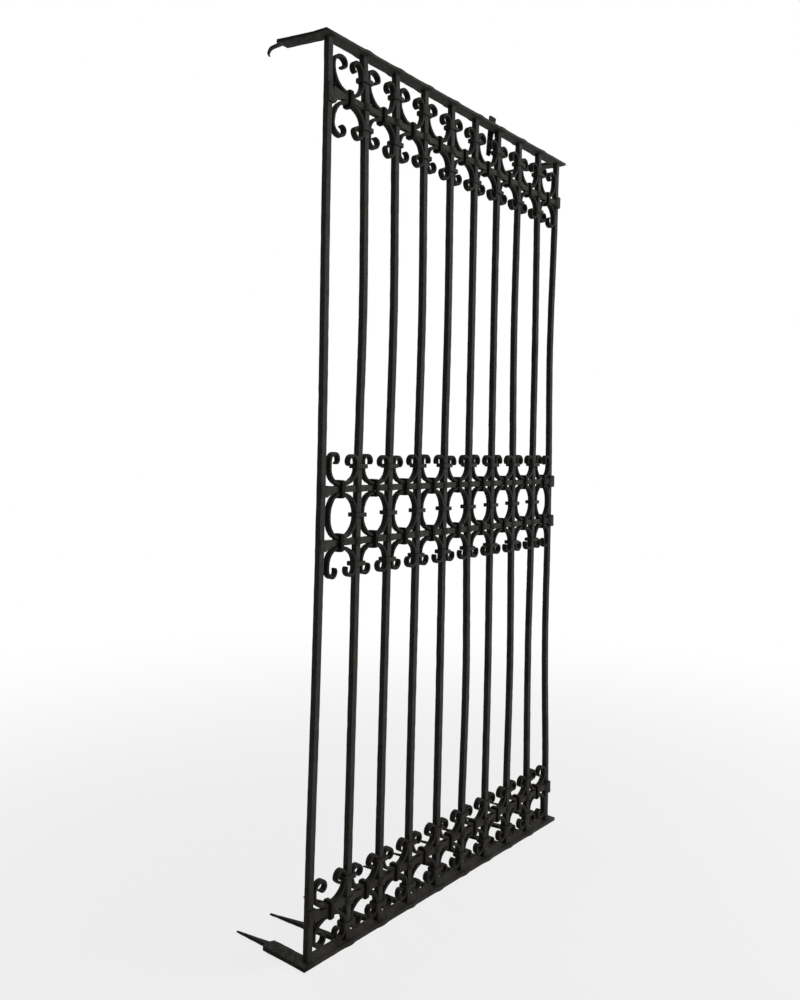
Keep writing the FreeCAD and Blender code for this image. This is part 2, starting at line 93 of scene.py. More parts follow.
# Sizes of the rails and anchors
RAIL_HALF_WIDTH = 18.5 * MM
RIGHT_ARM_HALF = 22 * MM
TOP_RAIL_THICKNESS = 8 * MM
BOTTOM_RAIL_THICKNESS = 10 * MM
LEFT_OVERHANG = 28 * MM
CORNER_CLEAR = RAIL_HALF_WIDTH + 2 * MM
SWELL = 3 * MM
SWELL_REACH = 24 * MM
RETURN_REACH = 117 * MM
TOP_LEAN = 36 * MM
BOTTOM_LEAN = 5 * MM
SHOULDER = 5 * MM
TAIL_ROOT = 7 * MM
TAIL_TIP = 2 * MM
TAIL_SWAY = 12 * MM
HOOK_ROOT = 6 * MM
HOOK_LIFT = 1.2 * MM
HOOK_STEPS = (("line", 30 * MM, 0), ("arc", 15 * MM, 60), ("arc", 7 * MM, 65), ("line", 3 * MM, 0))
STRAP_HALF_WIDTH = 7.5 * MM
STRAP_OFFSET = 14 * MM
STRAP_LEAN = 14 * MM
STRAP_SWAY = 20 * MM

# Sizes of the cross bars
CROSS_HALF_DEPTH = 7.5 * MM
CROSS_HALF_HEIGHT = 7.75 * MM
EYE_RADIUS = 16 * MM
EYE_ANGLES = (-62, -52, -40, -28, -14, 0, 14, 28, 40, 52, 62)
BOSS_RADIUS = 17.5 * MM
BOSS_HALF_HEIGHT = 18.5 * MM
BOSS_ANGLES = (-68, -55, -40, -20, 0, 20, 40, 55, 68, 78)
PLACE_GAP = 1 * MM
FLARE_LENGTH = 42 * MM
FLARE_LAP = 4 * MM
LAP_GAP = 0.5 * MM
# Rise and drop of each flared end over and under the cross bar's axis, in millimetres
FLARE_EDGES = {"top": (14, 30), "middle_upper": (10, 18), "middle_lower": (9, 17), "bottom": (25, 8)}

# Sizes of the scrolls and ovals
STRIP_THICKNESS = 7.5 * MM
FOOT_LENGTH = 6 * MM
OUTER_CURL = 15.5 * MM
MIDDLE_CURL = 14.5 * MM
EYELET = 10 * MM
OUTER_EYELET_TURN = 100
MIDDLE_EYELET_TURN = 55
EYELET_TURN_SPREAD = 25
TOP_SHOULDER = 1.55
OPEN_SHOULDER = 1.3
OPEN_CURL = 0.95
FIRST_STANDOFF = 2.5 * MM
SEAT_CLIMB = 38 * MM
TOP_SEAT_CLIMB = 46 * MM
LOW_SEAT_CLIMB = 31 * MM
FIRST_DROP_CLIMB = 56 * MM
OVAL_SEAT = 4 * MM
THIN_START = 0.45
THIN_POWER = 1.5
SCROLL_TIP = 0.55
OVAL_TIP = 1.0
Row = namedtuple("Row", "curl climb eyelet_turn")
ROWS = {
    "top_upper": Row(OUTER_CURL, TOP_SEAT_CLIMB, OUTER_EYELET_TURN),
    "top_lower": Row(OUTER_CURL, SEAT_CLIMB, OUTER_EYELET_TURN),
    "middle_upper": Row(MIDDLE_CURL, SEAT_CLIMB, MIDDLE_EYELET_TURN),
    "middle_lower": Row(MIDDLE_CURL, SEAT_CLIMB, MIDDLE_EYELET_TURN),
    "bottom_upper": Row(OUTER_CURL, SEAT_CLIMB, OUTER_EYELET_TURN),
    "bottom_lower": Row(OUTER_CURL, LOW_SEAT_CLIMB, OUTER_EYELET_TURN),
}
# Extra reach of the scrolls past their boxes, bay by bay from the left, in millimetres
EXTRA_REACH = {
    ("top_upper", "left"): (1, 6, 4, 4, 2, 0, -4, -5),
    ("top_upper", "right"): (6, 2, 2),
    ("top_lower", "left"): (9, 2, 2, -3, -3, -5, -7, -9, -9),
    ("top_lower", "right"): (-3, 6, -4, -3, -4, -7, -8, -8, -5),
    ("middle_upper", "left"): (4, 0, -4, 0, -3),
    ("middle_upper", "right"): (0, -2),
    ("bottom_upper", "left"): (3, -4, -4, -4, -6, -6, -4, -2),
    ("bottom_upper", "right"): (4, -2, -2, -2, -3, -4, -5, -6, -4),
    ("bottom_lower", "left"): (-4, 0, 2, 4, 6, 8, 10, 12, 14),
    ("bottom_lower", "right"): (5, 0, 2, 4, 6, 8, 10, 12, 14),
}

# Sizes of the collars, the clips and the tie
COLLAR_THICKNESS = 6 * MM
COLLAR_SWELL = 0.0
CLIP_THICKNESS = 5.5 * MM
CLIP_SWELL = 1.2 * MM
BEND_RADIUS = 4 * MM
BEND_ANGLES = (0, 30, 60, 90)
TIE_FOOT_HALF = 8.5 * MM
TIE_HEAD_HALF = 16 * MM
TIE_LEAN = 20 * MM
TIE_SHIFT = 4 * MM

# Fineness of the meshes and depth of the hammer marks
BAR_STEP = 16 * MM
RAIL_STEP = 9 * MM
STRIP_STEP = 6 * MM
ARC_STEP_DEGREES = 14
RAIL_SIDE_POINTS = 3
CORNER_RADIUS = 1.5 * MM
CORNER_SHARE = 0.45
CORNER_WEAR = ((0, 0.5), (45, 1.0), (90, 0.5))
CAP_SHARE = 0.8
CAP_WEAR = 0.8
DOME_POINTS = 12
DOME_RINGS = ((1.0, 0.0), (0.92, 0.55), (0.6, 0.9), (0.2, 1.0))
HAMMER_SCALE = 55
HAMMER_DEPTH = 0.55 * MM
PIT_SCALE = 230
PIT_DEPTH = 0.22 * MM

# Colours and shine of the iron
Look = namedtuple("Look", "dark light rust worn")
LOOKS = {
    "bar_iron": Look((0.032, 0.032, 0.030), (0.056, 0.056, 0.054), 0.5, 0.6),
    "rail_iron": Look((0.034, 0.034, 0.032), (0.050, 0.050, 0.047), 0.7, 0.5),
    "cross_bar_iron": Look((0.036, 0.035, 0.032), (0.056, 0.054, 0.048), 0.8, 0.6),
    "scroll_iron": Look((0.014, 0.014, 0.013), (0.026, 0.026, 0.024), 0.6, 0.35),
    "fitting_iron": Look((0.030, 0.029, 0.027), (0.048, 0.047, 0.043), 0.7, 0.6),
    "collar_iron": Look((0.007, 0.007, 0.006), (0.013, 0.012, 0.010), 0.4, 0.1),
}
DARK_ENDINGS = ("_collars", "_tie")
OLIVE = (0.050, 0.050, 0.036)
RUST = (0.056, 0.036, 0.026)
RUST_DARK = (0.028, 0.018, 0.013)
# Darker brownish colour laid on in patches towards the bottom
LOW_DARKENING = (0.022, 0.019, 0.014)
WORN = (0.110, 0.110, 0.105)
SPECULAR = 0.07

# Noise patterns of the iron: scale, detail and roughness
TONE_CLOUD = (14, 4, 0.6)
OLIVE_CLOUD = (9, 3, 0.6)
RUST_CLOUD = (24, 6, 0.7)
LOW_DARKENING_CLOUD = (11, 4, 0.6)
SPECK_CLOUD = (420, 3, 0.7)
WORN_CLOUD = (70, 5, 0.7)
SHINE_CLOUD = (120, 4, 0.6)
GRAIN_CLOUD = (320, 5, 0.65)
SCALE_CLOUD = (70, 4, 0.6)
# Relief of the iron: pattern, strength and depth
RELIEFS = ((GRAIN_CLOUD, 0.5, 0.5 * MM), (SCALE_CLOUD, 0.4, 1.2 * MM))
# Ranges from a pattern, a bar's lightness (partly painted light), a height or an edge's wear to an
# amount: from, to, and the amounts at both, 0 and 1 where none are given
TONE_RANGE = (0.35, 0.65)
# Painted light: the upright bars are mixed towards the light colour more at the left, other parts by a
# random amount
TONE_AND_PAINTED_LIGHT_RANGE = (0.0, 1.0, 0.0, 0.45)
OLIVE_RANGE = (0.5, 0.7, 0.0, 0.6)
OLIVE_TONE_RANGE = (0.3, 0.9)
RUST_RANGE = (0.48, 0.68)
RUST_HEIGHT_RANGE = (0.4, 0.0, 0.35, 1.0)
LOW_DARKENING_RANGE = (0.35, 0.65, 0.2, 0.7)
LOW_DARKENING_HEIGHT_RANGE = (0.5, 0.05)
SPECK_RANGE = (0.6, 0.75, 0.0, 0.35)
EDGE_RANGE = (0.4, 1.0)
WORN_RANGE = (0.45, 0.65)
ROUGHNESS_RANGE = (0.3, 0.7, 0.52, 0.78)
POLISH_RANGE = (0.0, 1.0, 0.0, 0.16)
# Colour sockets of a Mix node, by number because three kinds share each name
MIX_BASE = 6
MIX_OVER = 7
MIX_RESULT = 2

# Floor, world, lamps and camera; a lamp has a place, a target, a side and a power
FLOOR_COLOUR = (0.75, 0.75, 0.75, 1)
FLOOR_ROUGHNESS = 0.9
FLOOR_HALF = 40
FADE_START = 0.6
FADE_END = 3.6
FLOOR_LIFT = 0.80
WHITE = (1, 1, 1, 1)
AMBIENT = 0.025
MIDDLE = (0.0, 0.0, 1.05)
LEFT_SIDE = (-1.5, 0.0, 1.05)
LAMPS = {
    "key": ((2.0, -2.8, 3.0), LEFT_SIDE, 1.4, 60),
    "low": ((1.6, -3.0, 0.5), LEFT_SIDE, 1.4, 47),
    "fill": ((-3.5, -1.0, 3.2), MIDDLE, 3.0, 4),
    "back": ((1.2, 3.6, 2.6), MIDDLE, 2.0, 35),
}
SENSOR = 36.0
FRAME_HEIGHT = 1000
FOCAL_PIXELS = 849.9
AXIS_ROW = 441.1
CAMERA_TURN = (49.90, 1.37, 1.30)
CAMERA_PLACE = Vector((-1.9126, -1.4030, 1.1487))

Station = namedtuple("Station", "centre across half_width half_thick")


# Hammered bars

def quarter_signs(quarter):
    """Signs of both axes in a quarter of the plane, counted from the first."""
    return (1 if quarter in (0, 3) else -1), (1 if quarter in (0, 1) else -1)


def profile(side_points):
    """Rounded unit section as (x sign, y sign, angle, wear), with points along its wide sides."""
    points = []
    for quarter in range(4):
        start = QUARTER_TURN * quarter
        x_sign, y_sign = quarter_signs(quarter)
        for step, wear in CORNER_WEAR:
            points.append((x_sign, y_sign, math.radians(start + step), wear))
        end = math.radians(start + QUARTER_TURN)
        if quarter in (0, 2):
            for index in range(1, side_points + 1):
                share = x_sign * (1 - 2 * index / (side_points + 1))
                points.append((share, y_sign, end, 0.0))
        else:
            points.append((x_sign, 0, end, 0.0))
    return points


class Forging:
    """Mesh of hammered bars with a wear value at each point and a lightness for each bar, partly painted
    light.
    """

    def __init__(self):
        self.points = []
        self.faces = []
        self.wear = []
        self.tone_and_painted_light = []

    def add(self, place, wear, tone_and_painted_light):
        self.points.append(place)
        self.wear.append(wear)
        self.tone_and_painted_light.append(tone_and_painted_light)

    def ring(self, station, tangent, section, tone_and_painted_light):
        """Adds one section of a bar and returns the numbers of its points."""
        thick = tangent.cross(station.across).normalized()
        radius = min(CORNER_RADIUS, CORNER_SHARE * station.half_width, CORNER_SHARE * station.half_thick)
        first = len(self.points)
        for x_sign, y_sign, angle, wear in section:
            normal = station.across * math.cos(angle) + thick * math.sin(angle)
            flat = (station.across * x_sign * (station.half_width - radius)
                    + thick * y_sign * (station.half_thick - radius))
            place = station.centre + flat + normal * radius
            dent = (noise.noise(place * HAMMER_SCALE) * HAMMER_DEPTH
                    + noise.noise(place * PIT_SCALE) * PIT_DEPTH)
            self.add(place + normal * dent, wear, tone_and_painted_light)
        return list(range(first, len(self.points)))

    def skin(self, rings):
        """Joins each ring to the next with faces."""
        for ring_a, ring_b in zip(rings, rings[1:]):
            for index in range(len(ring_a)):
                after = (index + 1) % len(ring_a)
                self.faces.append((ring_a[index], ring_a[after], ring_b[after], ring_b[index]))

    def cap(self, ring, outward):
        """Adds the smaller ring that rounds off an end and returns the numbers of its points."""
        centre = sum((self.points[i] for i in ring), Vector()) / len(ring)
        first = len(self.points)
        for index in ring:
            place = centre + (self.points[index] - centre) * CAP_SHARE + outward * CORNER_RADIUS
            self.add(place, CAP_WEAR, self.tone_and_painted_light[index])
        return list(range(first, len(self.points)))

    def bar(self, stations, side_points=1, closed=False, tone_and_painted_light=None):
        """Sweeps a section through the stations of one bar."""
        section = profile(side_points)
        if tone_and_painted_light is None:
            tone_and_painted_light = rng.random()
        count = len(stations)
        rings = []
        tangents = []
        for index, station in enumerate(stations):
            before = stations[(index - 1) % count if closed else max(index - 1, 0)]
            after = stations[(index + 1) % count if closed else min(index + 1, count - 1)]
            tangents.append((after.centre - before.centre).normalized())
            rings.append(self.ring(station, tangents[-1], section, tone_and_painted_light))
        if closed:
            rings.append(rings[0])
        else:
            start = self.cap(rings[0], -tangents[0])
            end = self.cap(rings[-1], tangents[-1])
            self.faces.append(tuple(reversed(start)))
            self.faces.append(tuple(end))
            rings = [start, *rings, end]
        self.skin(rings)

    def dome(self, centre, radius, height):
        """Low round head of a hammered over tenon."""
        tone_and_painted_light = rng.random()
        rings = []
        for share, rise in DOME_RINGS:
            first = len(self.points)
            for step in range(DOME_POINTS):
                angle = math.tau * step / DOME_POINTS
                place = centre + Vector((math.cos(angle), math.sin(angle), 0)) * radius * share
                dent = noise.noise(place * PIT_SCALE) * PIT_DEPTH
                self.add(place + Z_AXIS * (height * rise + dent), rise, tone_and_painted_light)
            rings.append(list(range(first, len(self.points))))
        self.skin(rings)
        self.faces.append(tuple(rings[-1]))
        self.faces.append(tuple(reversed(rings[0])))

    def finish(self, node):
        """Makes the mesh object that stands for a node of the frame."""
        mesh = bpy.data.meshes.new(f"{node}_forged")
        mesh.from_pydata(self.points, [], self.faces)
        mesh.shade_smooth()
        for name, values in (("wear", self.wear), ("tone_and_painted_light", self.tone_and_painted_light)):
            mesh.attributes.new(name, "FLOAT", "POINT").data.foreach_set("value", values)
        mesh.materials.append(MATERIALS["collar_iron" if node.endswith(DARK_ENDINGS) else SLOT_OF[node]])
        obj = bpy.data.objects.new(f"{node}_forged", mesh)
        bpy.context.scene.collection.objects.link(obj)
        obj.modifiers.new("flats", "WEIGHTED_NORMAL").keep_sharp = True
        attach(obj, "root")
        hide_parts(node)


def forge(node, stations, side_points=1):
    """Makes a node that is a single bar."""
    forging = Forging()
    forging.bar(stations, side_points)
    forging.finish(node)


# Paths and places

def spaced(start, end, step):
    """Points from start to end at about that step, both ends included."""
    count = max(2, math.ceil((end - start).length / step) + 1)
    return [start.lerp(end, index / (count - 1)) for index in range(count)]


def shares(points):
    """Each point with its share of the way from the first to the last."""
    return [(index / (len(points) - 1), point) for index, point in enumerate(points)]


def between(start, end, share):
    """Value at a share of the way from start to end."""
    return start + (end - start) * share


def chain(start, steps, line_step):
    """Points in a plane along lines and tangent arcs that set out along the first axis."""
    point = Vector(start)
    heading = 0.0
    points = [point.copy()]
    for kind, amount, turn in steps:
        if kind == "line":
            count = max(1, round(amount / line_step))
            swing = 0.0
            stride = amount / count
        else:
            count = max(1, round(abs(turn) / ARC_STEP_DEGREES))
            swing = math.radians(turn) / count
            stride = 2 * amount * math.sin(abs(swing) / 2)
        for _ in range(count):
            course = heading + swing / 2
            point = point + Vector((math.cos(course), math.sin(course))) * stride
            heading += swing
            points.append(point.copy())
    return points


def solid_boxes(node):
    """Boxes of the separate solids of a row, which lie side by side along X."""
    mesh = frame["nodes"][node].data
    corners = [[mesh.vertices[i].co for i in face.vertices] for face in mesh.polygons]
    boxes = []
    for face in sorted(corners, key=lambda points: min(p.x for p in points)):
        low = Vector(min(p[axis] for p in face) for axis in range(3))
        high = Vector(max(p[axis] for p in face) for axis in range(3))
        if boxes and low.x <= boxes[-1][1].x + SOLID_GAP:
            boxes[-1][0] = Vector(map(min, boxes[-1][0], low))
            boxes[-1][1] = Vector(map(max, boxes[-1][1], high))
        else:
            boxes.append([low, high])
    return boxes


def collar_middles(band):
    return [(low + high) / 2 for low, high in solid_boxes(f"{band}_collars")]


BAR_PLACES = [sum(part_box(node), Vector()).x / 2 for node in BAR_NODES]
BAR_HALF = (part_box(BAR_NODES[0])[1].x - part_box(BAR_NODES[0])[0].x) / 2 + BAR_FULLNESS
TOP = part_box(BAR_NODES[0])[1].z
TAIL_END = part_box("bottom_rail")[1].y
COLLAR_MIDDLES = {band: collar_middles(band) for band in BANDS}


def band_level(band, x):
    """Height of a band's cross bar at x, from its first and last collars."""
    first, last = COLLAR_MIDDLES[band][0], COLLAR_MIDDLES[band][-1]
    return first.z + (last.z - first.z) * (x - first.x) / (last.x - first.x)


def bar_seats(x):
    """Heights at which a bar is held, from the bottom rail up to the top one."""
    levels = [band_level(band, x) for band in reversed(BANDS)]
    return [BOTTOM_RAIL_THICKNESS, *levels, TOP - TOP_RAIL_THICKNESS]


def bar_aside(number, z):
    """How far a bar, counted from 0 at the left, stands to the right of its place at a height."""
    seats = bar_seats(BAR_PLACES[number])
    span = min(max(bisect.bisect_right(seats, z) - 1, 0), len(seats) - 2)
    share = min(max((z - seats[span]) / (seats[span + 1] - seats[span]), 0.0), 1.0)
    ease = share * share * (3 - 2 * share)
    start, end = SEAT_DRIFTS.get(number, NO_DRIFT)[span:span + 2]
    bow = (0, LOWER_BOWS[number], 0, UPPER_BOWS[number], 0)[span]
    return (between(start, end, ease) + bow * math.sin(math.pi * share) ** 2) * MM


def bar_x(number, z):
    """Where a bar's axis stands at a height."""
    return BAR_PLACES[number] + bar_aside(number, z)


# Weathered iron

class Nodes:
    """Short ways to add nodes to a tree and to link them."""

    def __init__(self, tree):
        self.tree = tree

    def add(self, kind, **settings):
        node = self.tree.nodes.new(kind)
        for name, setting in settings.items():
            setattr(node, name, setting)
        return node

    def link(self, source, target):
        self.tree.links.new(source, target)

    @cached_property
    def place(self):
        """Place on the object, which all patterns share."""
        return self.add("ShaderNodeTexCoord").outputs["Object"]

    def attribute(self, name):
        return self.add("ShaderNodeAttribute", attribute_name=name).outputs["Fac"]

    def height(self):
        parts = self.add("ShaderNodeSeparateXYZ")
        self.link(self.place, parts.inputs[0])
        return parts.outputs["Z"]

    def cloud(self, scale, detail, roughness):
        node = self.add("ShaderNodeTexNoise")
        for socket, setting in (("Scale", scale), ("Detail", detail), ("Roughness", roughness)):
            node.inputs[socket].default_value = setting
        self.link(self.place, node.inputs["Vector"])
        return node.outputs["Fac"]

    def span(self, source, low, high, start=0.0, end=1.0):
        """Smooth step of a source from one range to another."""
        node = self.add("ShaderNodeMapRange", interpolation_type="SMOOTHSTEP")
        ends = {"From Min": low, "From Max": high, "To Min": start, "To Max": end}
        for socket, setting in ends.items():
            node.inputs[socket].default_value = setting
        self.link(source, node.inputs["Value"])
        return node.outputs["Result"]

    def patches(self, cloud, spread):
        """Noise pattern brought to a range."""
        return self.span(self.cloud(*cloud), *spread)

    def mixed(self, factor, base, over):
        """Mix of two colours, each a plain colour or a socket."""
        node = self.add("ShaderNodeMix", data_type="RGBA")
        self.link(factor, node.inputs["Factor"])
        for socket, setting in ((node.inputs[MIX_BASE], base), (node.inputs[MIX_OVER], over)):
            if isinstance(setting, tuple):
                socket.default_value = (*setting, 1)
            else:
                self.link(setting, socket)
        return node.outputs[MIX_RESULT]

    def combined(self, operation, first, second):
        """Sum, product or the like of two sources."""
        node = self.add("ShaderNodeMath", operation=operation)
        self.link(first, node.inputs[0])
        self.link(second, node.inputs[1])
        return node.outputs[0]

    def product(self, first, second):
        return self.combined("MULTIPLY", first, second)

    def shown_rays(self):
        """1 for the rays that show the white surroundings: seen directly, mirrored or through glass."""
        rays = self.add("ShaderNodeLightPath").outputs
        shown = rays["Is Camera Ray"]
        for kind in ("Is Glossy Ray", "Is Transmission Ray"):
            shown = self.combined("MAXIMUM", shown, rays[kind])
        return shown


def iron_colour(nodes, look, worn):
    """Uneven patches, painted light that makes the upright bars lighter towards the left, olive and rust,
    darker patches low down, dark specks, and bare iron where it is worn.
    """
    tone_and_painted_light = nodes.attribute("tone_and_painted_light")
    height = nodes.height()
    # Olive patches, with more of them where the upright bars are painted lighter, so the olive follows the
    # painted light as well
    olive = nodes.product(nodes.patches(OLIVE_CLOUD, OLIVE_RANGE), nodes.span(tone_and_painted_light, *OLIVE_TONE_RANGE))
    rust = nodes.product(nodes.patches(RUST_CLOUD, (*RUST_RANGE, 0.0, look.rust)),
                         nodes.span(height, *RUST_HEIGHT_RANGE))
    # Darker patches towards the bottom, fading out above half a metre
    low_darkening = nodes.product(nodes.patches(LOW_DARKENING_CLOUD, LOW_DARKENING_RANGE), nodes.span(height, *LOW_DARKENING_HEIGHT_RANGE))
    specks = nodes.patches(SPECK_CLOUD, SPECK_RANGE)
    colour = nodes.mixed(nodes.patches(TONE_CLOUD, TONE_RANGE), look.dark, look.light)
    # Painted light: each upright bar is mixed towards the light colour by its painted falloff, lighter to
    # the left
    colour = nodes.mixed(nodes.span(tone_and_painted_light, *TONE_AND_PAINTED_LIGHT_RANGE), colour, look.light)
    for amount, over in ((olive, OLIVE), (rust, RUST), (low_darkening, LOW_DARKENING), (specks, RUST_DARK), (worn, WORN)):
        colour = nodes.mixed(amount, colour, over)
    return colour


def iron_roughness(nodes, worn):
    """Uneven roughness, lower where the iron is worn."""
    roughness = nodes.patches(SHINE_CLOUD, ROUGHNESS_RANGE)
    return nodes.combined("SUBTRACT", roughness, nodes.span(worn, *POLISH_RANGE))


def iron_relief(nodes):
    """Fine grain, and flakes of scale over it."""
    normal = None
    for cloud, strength, depth in RELIEFS:
        relief = nodes.add("ShaderNodeBump")
        relief.inputs["Strength"].default_value = strength
        relief.inputs["Distance"].default_value = depth
        nodes.link(nodes.cloud(*cloud), relief.inputs["Height"])
        if normal is not None:
            nodes.link(normal, relief.inputs["Normal"])
        normal = relief.outputs["Normal"]
    return normal


def iron(name, look):
    """Near black iron, weathered and worn along its edges."""
    material = bpy.data.materials.new(name)
    material.use_nodes = True
    nodes = Nodes(material.node_tree)
    edges = nodes.span(nodes.attribute("wear"), *EDGE_RANGE)
    worn = nodes.product(edges, nodes.patches(WORN_CLOUD, (*WORN_RANGE, 0.0, look.worn)))
    shader = material.node_tree.nodes["Principled BSDF"]
    shader.inputs["Specular IOR Level"].default_value = SPECULAR
    nodes.link(iron_colour(nodes, look, worn), shader.inputs["Base Color"])
    nodes.link(iron_roughness(nodes, worn), shader.inputs["Roughness"])
    nodes.link(iron_relief(nodes), shader.inputs["Normal"])
    return material


MATERIALS = {name: iron(name, look) for name, look in LOOKS.items()}


# Bars

def make_bar(number):
    """Square bar, a little bent between its seats, with its tenon hammered over on the top rail."""
    seats = bar_seats(BAR_PLACES[number])
    stations = []
    for low, high in zip(seats, seats[1:]):
        depth_bow = rng.uniform(-DEPTH_BOW, DEPTH_BOW) * (high - low)
        points = spaced(Z_AXIS * low, Z_AXIS * high, BAR_STEP)
        for point in points if high == seats[-1] else points[:-1]:
            swing = math.sin(math.pi * (point.z - low) / (high - low)) ** 2
            aside = Vector((bar_x(number, point.z), depth_bow * swing, 0))
            stations.append(Station(point + aside, X_AXIS, BAR_HALF, BAR_HALF))
    forging = Forging()
    # Painted light: the bars are painted lighter at the left and darker towards the right, a falloff of
    # light laid into their colour, with a random spread around it.
    painted_light_falloff = 1 - number / (len(BAR_NODES) - 1)
    forging.bar(stations, tone_and_painted_light=painted_light_falloff + rng.uniform(-TONE_SPREAD, TONE_SPREAD))
    forging.dome(Vector((bar_x(number, TOP), 0, TOP)), PEEN_RADIUS, PEEN_HEIGHT)
    forging.finish(BAR_NODES[number])


# Rails with their corner anchors

def lean_at(y, lean):
    """Sideways drift of an anchor's axis, which starts at the rail's front edge."""
    return lean * (y + RAIL_HALF_WIDTH) / (RETURN_REACH + RAIL_HALF_WIDTH)


def tail_stations(x, level, half_thick, lean, sway=TAIL_SWAY):
    """Drawn out tail from its shoulder to its point."""
    start = Vector((x - lean, RETURN_REACH + SHOULDER, level))
    end = Vector((x - lean - sway, TAIL_END, level))
    stations = []
    for share, point in shares(spaced(start, end, RAIL_STEP)):
        width = between(TAIL_ROOT, TAIL_TIP, share)
        stations.append(Station(point, X_AXIS, width, between(half_thick, TAIL_TIP, share)))
    return stations


def hook_stations(x, level, half_thick, lean):
    """Tail that bends down and hooks forward."""
    thick = half_thick - HOOK_LIFT
    stations = []
    for share, point in shares(chain((0, 0), HOOK_STEPS, RAIL_STEP)):
        place = Vector((x - lean, RETURN_REACH + SHOULDER + point.x, level + HOOK_LIFT - point.y))
        width = between(HOOK_ROOT, TAIL_TIP, share)
        stations.append(Station(place, X_AXIS, width, between(thick, TAIL_TIP, share)))
    return stations


def anchor_stations(x, level, half_width, half_thick, lean, tail):
    """Anchor from near its corner back to its shoulder, and its tail."""
    start = Vector((x - lean_at(CORNER_CLEAR, lean), CORNER_CLEAR, level))
    end = Vector((x - lean, RETURN_REACH, level))
    arm = [Station(point, X_AXIS, half_width, half_thick) for point in spaced(start, end, RAIL_STEP)]
    return arm + tail(x, level, half_thick, lean)


def bump(distance, reach):
    """Smooth rise from 0 at the reach to 1 at the middle."""
    return math.cos(math.pi / 2 * min(1.0, abs(distance) / reach)) ** 2


def make_rail(node, level, thickness, lean, left_tail):
    """Flat bar laid on its side, swollen at the bars, with its ends turned back at mitred corners."""
    left_x = BAR_PLACES[0] - LEFT_OVERHANG + RAIL_HALF_WIDTH
    right_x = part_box(node)[1].x - RAIL_HALF_WIDTH
    half = thickness / 2
    left = anchor_stations(left_x, level, RAIL_HALF_WIDTH, half, lean, left_tail)
    right = anchor_stations(right_x, level, RIGHT_ARM_HALF, half, lean, tail_stations)
    mitre = RAIL_HALF_WIDTH * math.sqrt(2)
    left_corner = Vector((left_x - lean_at(0, lean), 0, level))
    right_corner = Vector((right_x - lean_at(0, lean), 0, level))
    clear = X_AXIS * CORNER_CLEAR
    stations = left[::-1]
    stations.append(Station(left_corner, (X_AXIS + Y_AXIS).normalized(), mitre, half))
    for point in spaced(left_corner + clear, right_corner - clear, RAIL_STEP):
        swell = max(bump(point.x - bar_x(number, level), SWELL_REACH) for number in INNER_BARS)
        stations.append(Station(point, Y_AXIS, RAIL_HALF_WIDTH + SWELL * swell, half))
    stations.append(Station(right_corner, (Y_AXIS - X_AXIS).normalized(), mitre, half))
    stations += [station._replace(across=-X_AXIS) for station in right]
    forge(node, stations, RAIL_SIDE_POINTS)


# Anchors behind the inner bars

def make_strap(node, bar_place):
    """Flat anchor beside a bar, from the bottom rail back to its tail's point."""
    x = bar_place - STRAP_OFFSET
    level = BOTTOM_RAIL_THICKNESS / 2
    start = Vector((x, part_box(node)[0].y, level))
    end = Vector((x - STRAP_LEAN, RETURN_REACH, level))
    points = spaced(start, end, RAIL_STEP)
    stations = [Station(point, X_AXIS, STRAP_HALF_WIDTH, level) for point in points]
    forge(node, stations + tail_stations(x, level, level, STRAP_LEAN, STRAP_SWAY))


# Cross bars

def round_half(distance, radius):
    """Half of a round's chord at a distance from its middle, 0 outside it."""
    return math.sqrt(max(0.0, radius * radius - distance * distance))


def round_places(middle, radius, angles):
    """Places along X on a round, at angles from its front."""
    return [middle + radius * math.sin(math.radians(angle)) for angle in angles]


def cross_places(start, eyes, last):
    """Places along a cross bar, close together round its eyes and round its boss at the last bar."""
    places = round_places(last, BOSS_RADIUS, BOSS_ANGLES)
    ends = [start]
    for eye in eyes:
        places += round_places(eye, EYE_RADIUS, EYE_ANGLES)
    for middle in (*eyes, last):
        ends += round_places(middle, EYE_RADIUS, (EYE_ANGLES[0], EYE_ANGLES[-1]))
    for near, far in zip(ends[::2], ends[1::2]):
        flat = [point.x for point in spaced(X_AXIS * near, X_AXIS * far, STRIP_STEP)]
        places += [x for x in flat if min(abs(x - place) for place in places) > PLACE_GAP]
    return sorted(places)


def make_cross_bar(band):
    """Flat bar lapped over the first bar, with round eyes for the others and a boss at the last."""
    first, *eyes, last = (bar_x(number, band_level(band, x)) for number, x in enumerate(BAR_PLACES))
    last = max(last, BAR_PLACES[-1])
    rise, drop = (edge * MM for edge in FLARE_EDGES[band])
    flare_start = first + BAR_HALF + LAP_GAP
    lap_front = -BAR_HALF - LAP_GAP - FLARE_LAP
    stations = []

    def station(x, front, back, top, under):
        middle = Vector((x, (front + back) / 2, band_level(band, x) + (top - under) / 2))
        stations.append(Station(middle, Y_AXIS, (back - front) / 2, (top + under) / 2))

    for point in spaced(X_AXIS * (first - BAR_HALF), X_AXIS * (flare_start - LAP_GAP), STRIP_STEP):
        station(point.x, lap_front, lap_front + FLARE_LAP, rise, drop)
    for x in cross_places(flare_start, eyes, last):
        eye = max(round_half(x - place, EYE_RADIUS) for place in eyes)
        boss = round_half(x - last, BOSS_RADIUS)
        depth = max(boss, eye, CROSS_HALF_DEPTH if x < last else 0.0)
        height = max(BOSS_HALF_HEIGHT * boss / BOSS_RADIUS, CROSS_HALF_HEIGHT if x < last else 0.0)
        flare = max(0.0, 1 - (x - flare_start) / FLARE_LENGTH) ** 2
        station(x, -depth + (lap_front + CROSS_HALF_DEPTH) * flare, depth,
                height + (rise - CROSS_HALF_HEIGHT) * flare, height + (drop - CROSS_HALF_HEIGHT) * flare)
    forge(f"{band}_cross_bar", stations)


# Scrolls and ovals

